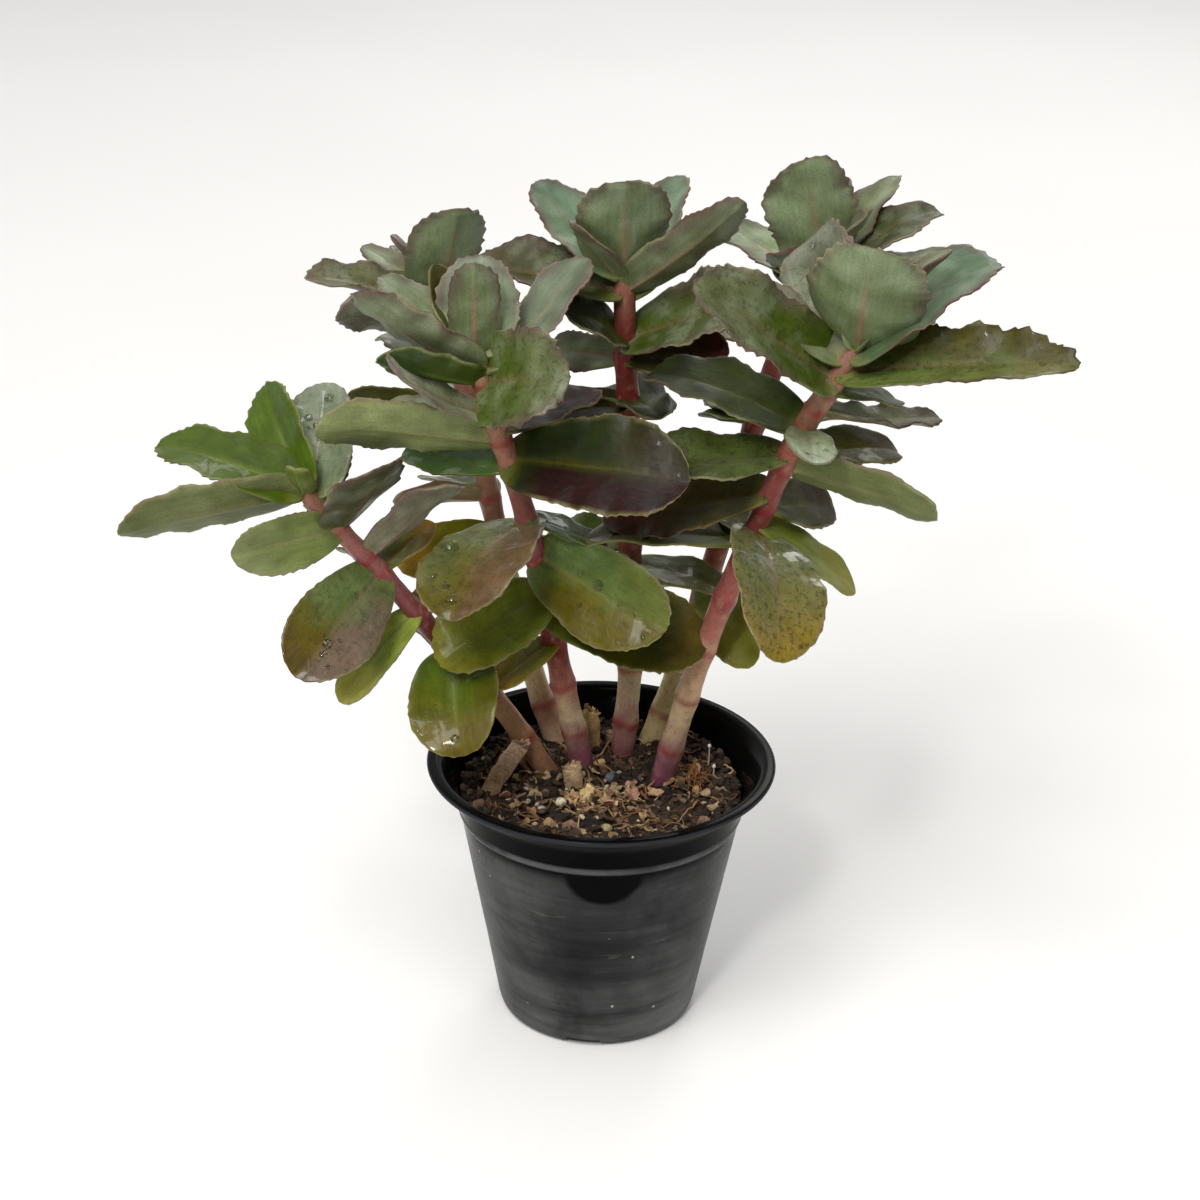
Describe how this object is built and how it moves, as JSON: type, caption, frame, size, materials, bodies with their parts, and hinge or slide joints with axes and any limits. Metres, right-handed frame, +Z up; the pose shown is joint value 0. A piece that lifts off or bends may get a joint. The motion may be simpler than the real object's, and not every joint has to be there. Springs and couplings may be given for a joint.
{
  "type": "potted sedum",
  "caption": "Upright stonecrop with thick leafy stems of broad toothed leaves, standing in soil in a round tapered nursery pot.",
  "frame": {"origin": "centre of the pot's flat underside", "axes": "+Z up along the pot's axis, -Y towards the viewer of the front view, +X to the viewer's right"},
  "size_m": [0.2848, 0.1616, 0.2838],
  "materials": {
    "pot_plastic": "thin black polypropylene, glossy, with scuffs and dust",
    "potting_soil": "damp dark loam with bark flakes and perlite",
    "stem_and_leaf_left": "fleshy green leaves, glossy where wet, on a dusty pink stem",
    "stem_and_leaf_back_left": "fleshy grey-green leaves on a pale stem",
    "stem_and_leaf_front_left": "fleshy leaves, waxy blue-green above and glossy olive below, on a dusty pink stem",
    "stem_and_leaf_centre": "fleshy leaves, waxy grey-green above and dark olive below, on a dusty red stem",
    "stem_and_leaf_back_right": "fleshy waxy light green leaves on a dusty pink stem",
    "stem_and_leaf_front_right": "fleshy leaves, waxy grey-green above and dark olive below, on a dusty pink stem",
    "dead_stem": "dry tan stem"
  },
  "bodies": {
    "root": {"pot": "pot_plastic", "soil": "potting_soil", "leafy_stem_left": "stem_and_leaf_left", "leafy_stem_back_left": "stem_and_leaf_back_left", "leafy_stem_front_left": "stem_and_leaf_front_left", "leafy_stem_centre": "stem_and_leaf_centre", "leafy_stem_back_right": "stem_and_leaf_back_right", "leafy_stem_front_right": "stem_and_leaf_front_right", "dead_stub_left": "dead_stem", "dead_stub_front": "dead_stem", "dead_stub_middle": "dead_stem"}
  },
  "joints": []
}
